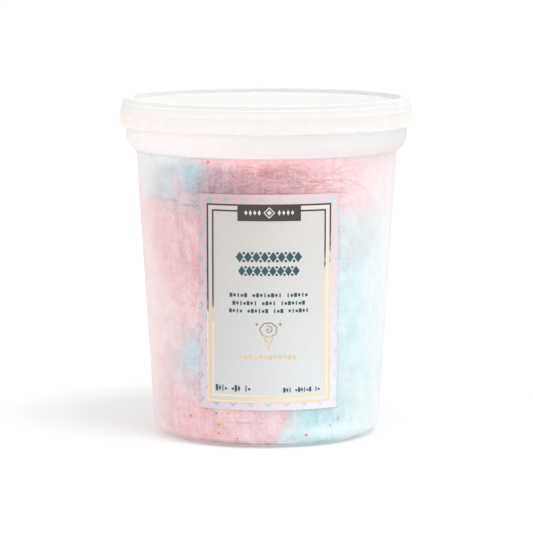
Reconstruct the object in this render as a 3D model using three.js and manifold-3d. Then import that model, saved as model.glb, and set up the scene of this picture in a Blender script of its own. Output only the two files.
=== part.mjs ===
// A lidded tub packed with pink and blue cotton candy, with a paper label on its front.
// Millimetres, +Z up, the tub stands on z = 0 around the Z axis, and the label faces -Y.

import * as THREE from 'three';
import { mergeVertices } from 'three/addons/utils/BufferGeometryUtils.js';
import Module from 'manifold-3d';

const wasm = await Module();
wasm.setup();

// ---------------------------------------------------------------- driving dimensions

const TURN_SEGMENTS = 52; // facets around every turned piece, a multiple of four
const TOUCH_GAP = 0.3; // space between pieces that touch

// Tub: a thin moulded shell with a tapered wall and a wider band under its rim.
const WALL = 0.9; // plastic thickness of the tub
const WALL_FOOT_R = 45.9; // wall's outer radius, carried down to z = 0
const WALL_TAPER = 0.0625; // growth of that radius for each millimetre of height
const BASE_CORNER_R = 7; // rounding between the wall and the base
const FOOT_RING_R = 31; // inner edge of the flat ring that the tub stands on
const FOOT_RECESS = 0.8; // how far the base panel is raised inside that ring
const BAND_R = 57.2; // outer radius of the band
const SHOULDER_R = 7; // rounding from the wall out to the band
const SHOULDER_Z = 122.2; // height at which that rounding reaches the band
const RIM_Z = 136; // top of the rim
const RIM_BEAD_R = 0.7; // half the thickness of the rim's bead

// Lid: a flared skirt, a raised rim over the tub's bead and a recessed panel.
const LID_WALL = 0.8;
const LID_TOP_Z = 137.4;
const LID_LIP_R = 60; // widest radius, at the skirt's lower lip
const LID_LIP_Z = 127; // height of that widest ring
const LID_SKIRT_R = 24; // radius of the skirt's bowed section
const LID_CORNER_R = 1.2; // rounding between the skirt and the raised rim
const LID_PANEL_R = 53.4; // radius of the recessed panel
const LID_PANEL_DROP = 2; // depth of the recess
const LID_RIM_EDGE_R = 0.35; // bevel at the rim's inner edge
const LIP_BEAD_R = 0.45; // half the thickness of the lip

// Label: a rectangle of paper wrapped on the tapered wall.
const LABEL_WIDTH = 57.5;
const LABEL_HEIGHT = 86.5;
const LABEL_BOTTOM_Z = 15.8;
const LABEL_PAPER = 0.25;
const LABEL_TURN = THREE.MathUtils.degToRad(1.2); // its middle stands this far right of -Y
const LABEL_COLUMNS = 20;
const LABEL_ROWS = 4;

// Candy: one packed filling, cut into a pink mass and blue tufts.
const CANDY_FLOOR_Z = 2.1;
const CANDY_CORNER_R = 6;
const CANDY_SIDE_Z = 114; // up to here the candy leans on the straight wall
const CANDY_TOP_Z = 117.6; // mean height of its fluffy top
const CANDY_TOP_ROUND = 2.4; // rounding at the edge of the top
const CANDY_DENT = 0.7; // how far the sides fall away from the wall
const CANDY_LUMP = 1.2; // height of the lumps on the top
const CANDY_TILT = 0.035; // the top rises towards +X by this slope
const CANDY_SEGMENTS = 36;
const CANDY_SIDE_RINGS = 9;
const CANDY_CORNER_RINGS = 3;
const CANDY_TOP_RINGS = 4;
const TUFT_DETAIL = 3; // subdivision of the blobs that cut the tufts
const TUFT_RIPPLE = 0.05; // share of a blob's size that its surface waves by

// Blobs that part each blue tuft from the pink mass: centre and half sizes.
const BLUE_TUFTS = {
  candy_blue_right: [
    { centre: [60, -10, 45], half: [60, 70, 55] },
    { centre: [40, -25, 2], half: [42, 38, 28] },
  ],
  candy_blue_upper_left: [{ centre: [-42, -30, 107], half: [24, 26, 15] }],
  candy_blue_lower_left: [{ centre: [-37, -34, 33], half: [12, 12, 11] }],
  candy_blue_back: [{ centre: [-16, 47, 76], half: [28, 22, 24] }],
};

// ---------------------------------------------------------------- materials

const FROSTED_PLASTIC = new THREE.MeshStandardMaterial({
  color: 0xf1eff0, roughness: 0.35, metalness: 0, transparent: true, opacity: 0.35,
});
const LID_PLASTIC = new THREE.MeshStandardMaterial({
  color: 0xf7f6f3, roughness: 0.4, metalness: 0, transparent: true, opacity: 0.8,
});
const LABEL_PAPER_FINISH = new THREE.MeshStandardMaterial({
  color: 0xdedbda, roughness: 0.55, metalness: 0,
});
const PINK_FLOSS = new THREE.MeshStandardMaterial({
  color: 0xefbcc6, roughness: 0.95, metalness: 0,
});
const BLUE_FLOSS = new THREE.MeshStandardMaterial({
  color: 0xcbe6ec, roughness: 0.95, metalness: 0,
});

// ---------------------------------------------------------------- shared shape helpers

// Points of an arc in a section, angles in degrees from the outward direction.
function arc(centreR, centreZ, radius, from, to, steps) {
  const points = [];
  for (let i = 0; i <= steps; i += 1) {
    const angle = THREE.MathUtils.degToRad(from + ((to - from) * i) / steps);
    points.push([centreR + radius * Math.cos(angle), centreZ + radius * Math.sin(angle)]);
  }
  return points;
}

// A solid turned around the Z axis from a section of [radius, height] pairs.
function turned(section) {
  const points = section.map(([r, z]) => new THREE.Vector2(r, z));
  const geometry = new THREE.LatheGeometry(points, TURN_SEGMENTS);
  geometry.rotateX(Math.PI / 2);
  return geometry;
}

// A closed geometry with its shared vertices merged.
function welded(geometry) {
  geometry.deleteAttribute('normal');
  geometry.deleteAttribute('uv');
  return mergeVertices(geometry, 1e-4);
}

function toManifold(geometry) {
  const merged = welded(geometry);
  return new wasm.Manifold(new wasm.Mesh({
    numProp: 3,
    vertProperties: new Float32Array(merged.attributes.position.array),
    triVerts: new Uint32Array(merged.index.array),
  }));
}

function fromManifold(solid) {
  const mesh = solid.getMesh();
  const geometry = new THREE.BufferGeometry();
  geometry.setAttribute('position', new THREE.BufferAttribute(mesh.vertProperties, 3));
  geometry.setIndex(new THREE.BufferAttribute(mesh.triVerts, 1));
  geometry.computeVertexNormals();
  return geometry;
}

// A closed shell from rings of points, with a pole at each end.
function ringed(bottomPole, rings, topPole) {
  const count = rings[0].length;
  const positions = [...bottomPole, ...rings.flat(2), ...topPole];
  const last = 1 + rings.length * count;
  const index = [];
  for (let i = 0; i < count; i += 1) {
    const next = (i + 1) % count;
    index.push(0, 1 + next, 1 + i);
    for (let ring = 0; ring < rings.length - 1; ring += 1) {
      const low = 1 + ring * count;
      const high = low + count;
      index.push(low + i, low + next, high + next);
      index.push(low + i, high + next, high + i);
    }
    index.push(last, last - count + i, last - count + next);
  }
  const geometry = new THREE.BufferGeometry();
  geometry.setAttribute('position', new THREE.Float32BufferAttribute(positions, 3));
  geometry.setIndex(index);
  geometry.computeVertexNormals();
  return geometry;
}

// ---------------------------------------------------------------- tub

const WALL_LEAN = THREE.MathUtils.radToDeg(Math.atan(WALL_TAPER));
const WALL_STRETCH = Math.hypot(1, WALL_TAPER);

// Outer radius of the tapered wall, moved in by inset, at a height.
function wallRadius(z, inset = 0) {
  return WALL_FOOT_R + WALL_TAPER * z - inset * WALL_STRETCH;
}

// Rounded corner between a floor at floorZ and the wall moved in by inset.
function floorCorner(floorZ, radius, inset, steps) {
  const centreZ = floorZ + radius;
  const centreR = wallRadius(centreZ, inset + radius);
  return arc(centreR, centreZ, radius, -90, -WALL_LEAN, steps);
}

// Shoulder that swells from the wall to the band, both moved in by inset.
function shoulder(inset, steps) {
  const centreR = BAND_R - SHOULDER_R;
  const radius = SHOULDER_R - inset;
  const reach = wallRadius(SHOULDER_Z - SHOULDER_R, inset) - centreR;
  const start = -THREE.MathUtils.radToDeg(Math.acos(reach / radius));
  return arc(centreR, SHOULDER_Z, radius, start, 0, steps);
}

function tubGeometry() {
  const outside = [
    [0, FOOT_RECESS],
    [FOOT_RING_R - FOOT_RECESS, FOOT_RECESS],
    [FOOT_RING_R, 0],
    ...floorCorner(0, BASE_CORNER_R, 0, 5),
    ...shoulder(0, 5),
  ];
  const rim = arc(BAND_R - RIM_BEAD_R, RIM_Z - RIM_BEAD_R, RIM_BEAD_R, 0, 180, 4);
  const inside = [
    ...shoulder(WALL, 4).reverse(),
    ...floorCorner(WALL, BASE_CORNER_R - WALL, WALL, 4).reverse(),
    [FOOT_RING_R, WALL],
    [FOOT_RING_R - FOOT_RECESS, FOOT_RECESS + WALL],
    [0, FOOT_RECESS + WALL],
  ];
  return turned([...outside, ...rim, ...inside]);
}

// ---------------------------------------------------------------- lid

// Skirt's bowed section, moved in by inset, from the lip up to the raised rim.
function skirt(inset, topZ, steps) {
  const radius = LID_SKIRT_R - inset;
  const top = THREE.MathUtils.radToDeg(Math.asin((topZ - LID_LIP_Z) / radius));
  return arc(LID_LIP_R - LID_SKIRT_R, LID_LIP_Z, radius, 0, top, steps);
}

function lidGeometry() {
  const panelZ = LID_TOP_Z - LID_PANEL_DROP;
  const skirtTopZ = LID_TOP_Z - LID_CORNER_R;
  const outerSkirt = skirt(0, skirtTopZ, 4);
  const cornerR = outerSkirt[outerSkirt.length - 1][0] - LID_CORNER_R;
  const rimInnerR = LID_PANEL_R + LID_PANEL_DROP / 2;
  const underside = [
    [0, panelZ - LID_WALL],
    [LID_PANEL_R + LID_WALL, panelZ - LID_WALL],
    [rimInnerR + LID_WALL, LID_TOP_Z - LID_WALL],
    [cornerR, LID_TOP_Z - LID_WALL],
    ...skirt(LID_WALL, skirtTopZ - LID_WALL / 2, 3).reverse(),
  ];
  const lip = arc(LID_LIP_R - LIP_BEAD_R, LID_LIP_Z - LIP_BEAD_R, LIP_BEAD_R, -160, -20, 3);
  const outside = [
    ...outerSkirt.slice(0, -1),
    ...arc(cornerR, skirtTopZ, LID_CORNER_R, 22, 90, 3),
    [rimInnerR + LID_RIM_EDGE_R, LID_TOP_Z],
    [rimInnerR - LID_RIM_EDGE_R, LID_TOP_Z - LID_RIM_EDGE_R],
    [LID_PANEL_R, panelZ],
    [0, panelZ],
  ];
  return turned([...underside, ...lip, ...outside]);
}

// ---------------------------------------------------------------- label

// A point on the label: u and v run from 0 to 1 across and up, off is its distance from the wall.
function labelPoint(u, v, off) {
  const z = LABEL_BOTTOM_Z + LABEL_HEIGHT * v;
  const r = wallRadius(z, -off);
  const angle = LABEL_TURN + (LABEL_WIDTH * (u - 0.5)) / r;
  return [r * Math.sin(angle), -r * Math.cos(angle), z];
}

// The sheet's section is a flat loop of back and front points, joined row by row.
function labelGeometry() {
  const rows = [];
  for (let row = 0; row <= LABEL_ROWS; row += 1) {
    const v = row / LABEL_ROWS;
    const front = [];
    const back = [];
    for (let column = 0; column <= LABEL_COLUMNS; column += 1) {
      const u = column / LABEL_COLUMNS;
      front.push(labelPoint(u, v, TOUCH_GAP + LABEL_PAPER));
      back.unshift(labelPoint(u, v, TOUCH_GAP));
    }
    rows.push([...front, ...back]);
  }
  const loop = rows[0].length;
  const index = [];
  for (let row = 0; row < LABEL_ROWS; row += 1) {
    for (let i = 0; i < loop; i += 1) {
      const next = (i + 1) % loop;
      const low = row * loop;
      index.push(low + i, low + next, low + loop + next);
      index.push(low + i, low + loop + next, low + loop + i);
    }
  }
  const top = LABEL_ROWS * loop;
  for (let i = 0; i < LABEL_COLUMNS; i += 1) {
    const across = loop - 1 - i;
    index.push(i, across, across - 1, i, across - 1, i + 1);
    index.push(top + i, top + across - 1, top + across, top + i, top + i + 1, top + across - 1);
  }
  const geometry = new THREE.BufferGeometry();
  geometry.setAttribute('position', new THREE.Float32BufferAttribute(rows.flat(2), 3));
  geometry.setIndex(index);
  geometry.computeVertexNormals();
  return geometry;
}

// ---------------------------------------------------------------- candy

// Smooth lumps between -1 and 1 around the axis and up it.
function lumps(angle, z) {
  const broad = Math.sin(3 * angle + z / 17) * Math.cos(z / 11 + 2 * angle);
  const fine = Math.sin(7 * angle - z / 9 + 1.3) * Math.cos(z / 6);
  return 0.65 * broad + 0.35 * fine;
}

// Radius of the candy's side, which leans on the inside of the wall and falls away in places.
function candySide(angle, z) {
  return wallRadius(z, WALL + TOUCH_GAP) - CANDY_DENT * (0.5 + 0.5 * lumps(angle, z));
}

// Height of the candy's top at a distance from the axis.
function candyTop(angle, r) {
  const share = r / WALL_FOOT_R;
  const lean = CANDY_TILT * r * Math.cos(angle);
  return CANDY_TOP_Z + lean + CANDY_LUMP * share * lumps(angle * 2, 14 * share);
}

function candyGeometry() {
  const sections = [];
  const corner = floorCorner(CANDY_FLOOR_Z, CANDY_CORNER_R, WALL + TOUCH_GAP, CANDY_CORNER_RINGS);
  corner.slice(0, -1).forEach(([r, z]) => sections.push(() => [r, z]));
  const sideFootZ = corner[corner.length - 1][1];
  for (let i = 0; i < CANDY_SIDE_RINGS; i += 1) {
    const z = sideFootZ + ((CANDY_SIDE_Z - sideFootZ) * i) / (CANDY_SIDE_RINGS - 1);
    sections.push((angle) => [candySide(angle, z), z]);
  }
  const edgeR = wallRadius(CANDY_SIDE_Z, WALL + TOUCH_GAP) - CANDY_TOP_ROUND;
  for (let i = CANDY_TOP_RINGS; i > 0; i -= 1) {
    const r = (edgeR * i) / CANDY_TOP_RINGS;
    sections.push((angle) => [r, candyTop(angle, r)]);
  }
  const rings = sections.map((section) => {
    const ring = [];
    for (let i = 0; i < CANDY_SEGMENTS; i += 1) {
      const angle = (2 * Math.PI * i) / CANDY_SEGMENTS;
      const [r, z] = section(angle);
      ring.push([r * Math.cos(angle), r * Math.sin(angle), z]);
    }
    return ring;
  });
  return ringed([0, 0, CANDY_FLOOR_Z], rings, [0, 0, candyTop(0, 0)]);
}

// A waving blob, grown on all sides by grow.
function blobGeometry({ centre, half }, grow) {
  const geometry = welded(new THREE.IcosahedronGeometry(1, TUFT_DETAIL));
  const place = geometry.attributes.position;
  for (let i = 0; i < place.count; i += 1) {
    const unit = [place.getX(i), place.getY(i), place.getZ(i)];
    const wave = Math.sin(5 * unit[0] + 4 * unit[2]) * Math.cos(5 * unit[1] - 3 * unit[2]);
    const scale = 1 + TUFT_RIPPLE * wave;
    const point = unit.map((value, axis) => centre[axis] + value * (half[axis] * scale + grow));
    place.setXYZ(i, ...point);
  }
  return geometry;
}

function tuftBlob(blobs, grow) {
  return blobs
    .map((blob) => toManifold(blobGeometry(blob, grow)))
    .reduce((joined, blob) => joined.add(blob));
}

// The blue tufts, and the pink mass that is left around them.
function candyPieces() {
  const filling = toManifold(candyGeometry());
  let pink = filling;
  const pieces = {};
  for (const [name, blobs] of Object.entries(BLUE_TUFTS)) {
    pieces[name] = filling.intersect(tuftBlob(blobs, 0));
    pink = pink.subtract(tuftBlob(blobs, TOUCH_GAP));
  }
  return { candy_pink: pink, ...pieces };
}

// ---------------------------------------------------------------- the part

function named(name, geometry, material) {
  const mesh = new THREE.Mesh(geometry, material);
  mesh.name = name;
  return mesh;
}

const part = new THREE.Group();
part.add(named('tub', tubGeometry(), FROSTED_PLASTIC));
part.add(named('lid', lidGeometry(), LID_PLASTIC));
part.add(named('label', labelGeometry(), LABEL_PAPER_FINISH));
for (const [name, solid] of Object.entries(candyPieces())) {
  const floss = name === 'candy_pink' ? PINK_FLOSS : BLUE_FLOSS;
  part.add(named(name, fromManifold(solid), floss));
}

export default part;
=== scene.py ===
import math

import bmesh
import bpy
import numpy as np
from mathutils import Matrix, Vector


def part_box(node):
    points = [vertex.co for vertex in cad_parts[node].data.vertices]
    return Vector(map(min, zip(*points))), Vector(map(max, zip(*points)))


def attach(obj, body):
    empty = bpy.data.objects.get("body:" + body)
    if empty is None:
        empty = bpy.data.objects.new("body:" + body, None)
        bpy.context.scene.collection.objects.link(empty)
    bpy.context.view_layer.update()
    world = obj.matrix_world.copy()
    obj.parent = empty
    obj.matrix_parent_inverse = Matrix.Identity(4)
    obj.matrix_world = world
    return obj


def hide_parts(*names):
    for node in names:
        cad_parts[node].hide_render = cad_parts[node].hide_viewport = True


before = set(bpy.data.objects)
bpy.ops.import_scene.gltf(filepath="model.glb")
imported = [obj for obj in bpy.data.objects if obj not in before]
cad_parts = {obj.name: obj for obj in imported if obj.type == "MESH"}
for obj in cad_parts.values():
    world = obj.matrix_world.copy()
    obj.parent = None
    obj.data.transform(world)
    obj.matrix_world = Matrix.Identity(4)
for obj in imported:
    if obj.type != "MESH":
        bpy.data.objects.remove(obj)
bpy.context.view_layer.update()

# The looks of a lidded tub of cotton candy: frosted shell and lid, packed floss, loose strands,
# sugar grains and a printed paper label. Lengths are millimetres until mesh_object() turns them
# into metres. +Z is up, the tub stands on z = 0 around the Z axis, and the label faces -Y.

MM = 0.001

# ---- sizes from the frame


def node_box(node):
    """Lowest and highest corner of a CAD node, in millimetres."""
    low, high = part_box(node)
    return np.array(low) / MM, np.array(high) / MM


TUB_HIGH = node_box("tub")[1]
LID_HIGH = node_box("lid")[1]
LABEL_LOW, LABEL_HIGH = node_box("label")
BAND_R = TUB_HIGH[0]
RIM_Z = TUB_HIGH[2]
LID_LIP_R = LID_HIGH[0]
LID_TOP_Z = LID_HIGH[2]
LABEL_BOTTOM_Z = LABEL_LOW[2]
LABEL_TOP_Z = LABEL_HIGH[2]

# ---- driving dimensions

# Tub, as in its construction.
WALL = 0.9
WALL_FOOT_R = 45.9
WALL_TAPER = 0.0625
WALL_STRETCH = math.hypot(1, WALL_TAPER)
WALL_LEAN = math.degrees(math.atan(WALL_TAPER))
BASE_CORNER_R = 7
FOOT_RING_R = 31
FOOT_RECESS = 0.8
SHOULDER_R = 7
SHOULDER_Z = 122.2
RIM_BEAD_R = 0.7
LEDGE_Z = 117.3  # the corner where the wall turns out into the shoulder
TURN_SEGMENTS = 200
SHELL_SHARP = 40  # degrees between faces from which a shell's edge stays crisp

# Lid, as in its construction.
LID_WALL = 0.8
LID_LIP_Z = 127
LID_SKIRT_R = 24
LID_CORNER_R = 1.2
LID_PANEL_R = 53.4
LID_PANEL_DROP = 2
LID_PANEL_Z = LID_TOP_Z - LID_PANEL_DROP
LID_RIM_EDGE_R = 0.35
LIP_BEAD_R = 0.45

# Floss: its sides press just into the wall, so no gap shows.
FLOSS_INSET = 0.55  # from the wall's outer face
FLOSS_RELIEF = 0.28  # depth of the relief on the sides
FLOSS_TOP_Z = 119.4
FLOSS_TILT = 0.02
FLOSS_LUMP = 0.6
FLOSS_SIDE_TOP_Z = 117.1
FLOSS_ROUND = 1.8
FLOSS_SEGMENTS = 360
FLOSS_SIDE_RINGS = 130
FLOSS_CORNER_STEPS = 14
FLOSS_TOP_RINGS = 22
FLOSS_EDGE_DROP = 1.3  # least height of the rounding between the sides and the top
FLOSS_FADE = 12  # the relief starts over one part in this many of the sides
FLOSS_SHARP = 35

# Strands that lie on the floss's sides, and darker, thicker ones above the label.
STRANDS = 2600
STRAND_LENGTHS = (9, 30)
STRAND_RADII = (0.04, 0.08)
DEEP_STRANDS = 120
DEEP_ANGLES = (-104, -52)  # degrees around the axis, where the label's side is at -90
DEEP_HEIGHTS = (101, 114)
DEEP_LENGTHS = (4, 13)
DEEP_RADII = (0.06, 0.15)
STRAND_TOP_GAP = 0.6  # strands stay this far below the sides' top

# Label: a sheet of paper wrapped on the wall, with its printed layers stacked on it.
LABEL_TURN = math.radians(1.2)
LABEL_WIDTH = 57.5
LABEL_GAP = 0.06
PAPER = 0.12
INK = 0.03
PRINT_SHARP = 30
STAMP_STEP = 2.0  # longest step of a printed shape along the curved wall

# ---- colour helpers


def srgb(red, green, blue):
    """Linear colour of an 8-bit sRGB one."""
    def linear(value):
        share = value / 255
        return share / 12.92 if share <= 0.04045 else ((share + 0.055) / 1.055) ** 2.4
    return linear(red), linear(green), linear(blue)


class Surface:
    """A node material and short ways to add to it. Places in it are in millimetres."""

    def __init__(self, name):
        self.material = bpy.data.materials.new(name)
        self.material.use_nodes = True
        self.tree = self.material.node_tree
        self.tree.nodes.clear()
        self.shader = self.add("ShaderNodeBsdfPrincipled")
        self.output = self.add("ShaderNodeOutputMaterial")
        self.join(self.shader.outputs["BSDF"], self.output.inputs["Surface"])
        coordinates = self.add("ShaderNodeTexCoord")
        scaled = self.add("ShaderNodeVectorMath", operation="SCALE")
        self.join(coordinates.outputs["Object"], scaled.inputs[0])
        scaled.inputs["Scale"].default_value = 1 / MM
        self.place = scaled.outputs[0]

    def add(self, kind, **settings):
        node = self.tree.nodes.new(kind)
        for key, value in settings.items():
            setattr(node, key, value)
        return node

    def join(self, source, target):
        self.tree.links.new(source, target)

    def feed(self, socket, value):
        """Joins a node's output to a socket, or sets a plain value on it."""
        if isinstance(value, bpy.types.NodeSocket):
            self.join(value, socket)
        elif isinstance(value, tuple) and socket.type == "RGBA":
            socket.default_value = (*value, 1)
        else:
            socket.default_value = value

    def set(self, **values):
        """Sets the main shader's sockets, with _ for a space in a socket's name."""
        for key, value in values.items():
            self.feed(self.shader.inputs[key.replace("_", " ")], value)

    def math(self, operation, first, second=0.0, clamp=False):
        node = self.add("ShaderNodeMath", operation=operation, use_clamp=clamp)
        self.feed(node.inputs[0], first)
        self.feed(node.inputs[1], second)
        return node.outputs[0]

    def vector(self, operation, first, second=(0, 0, 0)):
        node = self.add("ShaderNodeVectorMath", operation=operation)
        self.feed(node.inputs[0], first)
        self.feed(node.inputs[1], second)
        return node.outputs["Value" if operation == "LENGTH" else "Vector"]

    def warp(self, place, noise, reach):
        """A place pushed about by a coloured noise, by up to half of reach millimetres."""
        shift = self.vector("SUBTRACT", noise, (0.5, 0.5, 0.5))
        return self.vector("ADD", place, self.vector("MULTIPLY", shift, (reach, reach, reach)))

    def axis(self, name):
        node = self.add("ShaderNodeSeparateXYZ")
        self.join(self.place, node.inputs[0])
        return node.outputs[name]

    def noise(self, size, place=None, detail=2.0, kind="FBM", colour=False):
        """Noise whose features are about size millimetres wide."""
        node = self.add("ShaderNodeTexNoise", noise_type=kind, normalize=kind == "FBM")
        self.join(place or self.place, node.inputs["Vector"])
        node.inputs["Scale"].default_value = 1 / size
        node.inputs["Detail"].default_value = detail
        return node.outputs["Color" if colour else "Fac"]

    def remap(self, value, low, high, to_low=0.0, to_high=1.0):
        node = self.add("ShaderNodeMapRange", interpolation_type="SMOOTHSTEP")
        for socket, number in zip(node.inputs, (value, low, high, to_low, to_high)):
            self.feed(socket, number)
        return node.outputs[0]

    def tone(self, size, low=0.0, high=1.0, **settings):
        """Noise stretched so that it runs from low to high."""
        return self.stretch(self.noise(size, **settings), low, high)

    def stretch(self, noise, low=0.0, high=1.0):
        return self.remap(noise, 0.3, 0.7, low, high)

    def mix(self, share, first, second, blend="MIX"):
        node = self.add("ShaderNodeMix", data_type="RGBA", blend_type=blend)
        factor, a, b = node.inputs[0], node.inputs[6], node.inputs[7]
        self.feed(factor, share)
        self.feed(a, first)
        self.feed(b, second)
        return node.outputs[2]

    def blend(self, share, first, second):
        """A mix of two shaders."""
        node = self.add("ShaderNodeMixShader")
        self.feed(node.inputs[0], share)
        self.join(first.outputs[0], node.inputs[1])
        self.join(second.outputs[0], node.inputs[2])
        return node

    def bump(self, height, depth, strength):
        """Roughens the main shader by a height whose full range is depth millimetres."""
        node = self.add("ShaderNodeBump")
        node.inputs["Distance"].default_value = depth * MM
        node.inputs["Strength"].default_value = strength
        self.feed(node.inputs["Height"], height)
        self.join(node.outputs[0], self.shader.inputs["Normal"])


# ---- finishes


def scaled(tint, share):
    """A colour made darker or lighter."""
    return tuple(share * part for part in tint)


def speckled(name, tint, other_share, size, most, rough):
    """A plain finish with patches, about size millimetres wide, that go up to the share most of
    the way to a darker or lighter tint."""
    surface = Surface(name)
    other = scaled(tint, other_share)
    surface.set(Base_Color=surface.mix(surface.tone(size, 0.0, most), tint, other))
    surface.set(Roughness=rough)
    return surface.material


def climb(surface, height, stops):
    """A colour, or a number as a grey, that changes with height from stop to stop."""
    stops = [(z, goal if isinstance(goal, tuple) else (goal, goal, goal)) for z, goal in stops]
    result = stops[0][1]
    for (low, _), (high, goal) in zip(stops, stops[1:]):
        result = surface.mix(surface.remap(height, low, high), result, goal)
    return result


PLASTIC_IOR = 1.49
CLOUD_SIZE = 9.0
CLOUD_DEPTH = 0.02  # how far the soft clouds change the opacity
HAZE_SIZE = 0.25  # of the fine grain in the opacity
LEAST_SLANT = 0.13  # keeps the light's path short of endless where the wall is seen edge on


def frosted_plastic(name, look):
    """Cloudy see-through plastic. Its opacity and tint change up the wall, with soft clouds and a
    fine grain, and its tint goes from left to right, which carries painted light and painted
    reflection. The opacity grows where the wall is seen edge on, because light then crosses more of
    it. What it catches is part sent back and part passed on, scattered."""
    surface = Surface(name)
    height = surface.axis("Z")
    across = surface.remap(surface.axis("X"), -BAND_R, BAND_R)
    left_tint_with_painted_light = climb(surface, height, [(z, left) for z, left, _ in look["tints"]])
    right_tint_with_painted_light = climb(surface, height, [(z, right) for z, _, right in look["tints"]])
    tint = surface.mix(across, left_tint_with_painted_light, right_tint_with_painted_light)
    opacity = climb(surface, height, look["opacity"])
    cloud = surface.tone(CLOUD_SIZE, -CLOUD_DEPTH, CLOUD_DEPTH, detail=3.0)
    grain = surface.tone(HAZE_SIZE, -look["grain"], look["grain"], detail=1.0)
    opacity = surface.math("ADD", surface.math("ADD", opacity, cloud), grain)
    weight = surface.add("ShaderNodeLayerWeight")
    weight.inputs["Blend"].default_value = 0.5
    slant = surface.math("SUBTRACT", 1.0, weight.outputs["Facing"])
    slant = surface.math("MAXIMUM", slant, LEAST_SLANT)
    path = surface.math("DIVIDE", 1.0, surface.math("POWER", slant, look["edge_power"]))
    clear = surface.math("SUBTRACT", 1.0, opacity, clamp=True)
    opacity = surface.math("SUBTRACT", 1.0, surface.math("POWER", clear, path), clamp=True)
    shade = surface.tone(25.0, 0.0, 0.5)
    surface.set(Base_Color=surface.mix(shade, tint, (0.97, 0.97, 0.97), "MULTIPLY"))
    surface.set(Roughness=look["roughness"], IOR=PLASTIC_IOR, Specular_IOR_Level=0.3)
    surface.bump(surface.noise(0.35, detail=1.0), 0.02, 0.25)
    passed_on = surface.add("ShaderNodeBsdfTranslucent")
    surface.feed(passed_on.inputs["Color"], tint)
    share = climb(surface, height, look["passed_on"])
    veil = surface.blend(share, surface.shader, passed_on)
    see_through = surface.add("ShaderNodeBsdfTransparent")
    blend = surface.blend(opacity, see_through, veil)
    surface.join(blend.outputs[0], surface.output.inputs["Surface"])
    return surface.material


# ---- floss colours

# The blobs that part the blue tufts from the pink mass: centre and half sizes. The floss's colour
# goes by place, so the back one's wisp leaves parts of its blob pink and runs past it.
BLUE_TUFTS = {
    "candy_blue_right": [((60, -10, 45), (60, 70, 55)), ((40, -25, 2), (42, 38, 28))],
    "candy_blue_upper_left": [((-42, -30, 107), (24, 26, 15))],
    "candy_blue_lower_left": [((-37, -34, 33), (12, 12, 11))],
    "candy_blue_back": [((-16, 47, 76), (28, 22, 24))],
}
TUFT_RIPPLE = 0.05

# Colours of the floss, in 8 bits. All are dimmed a little at the end, so one, a painted light, may
# pass 255.
PINK = (235, 185, 191)
PALE_PINK = (241, 207, 211)
CYAN = (214, 239, 242)
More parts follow.
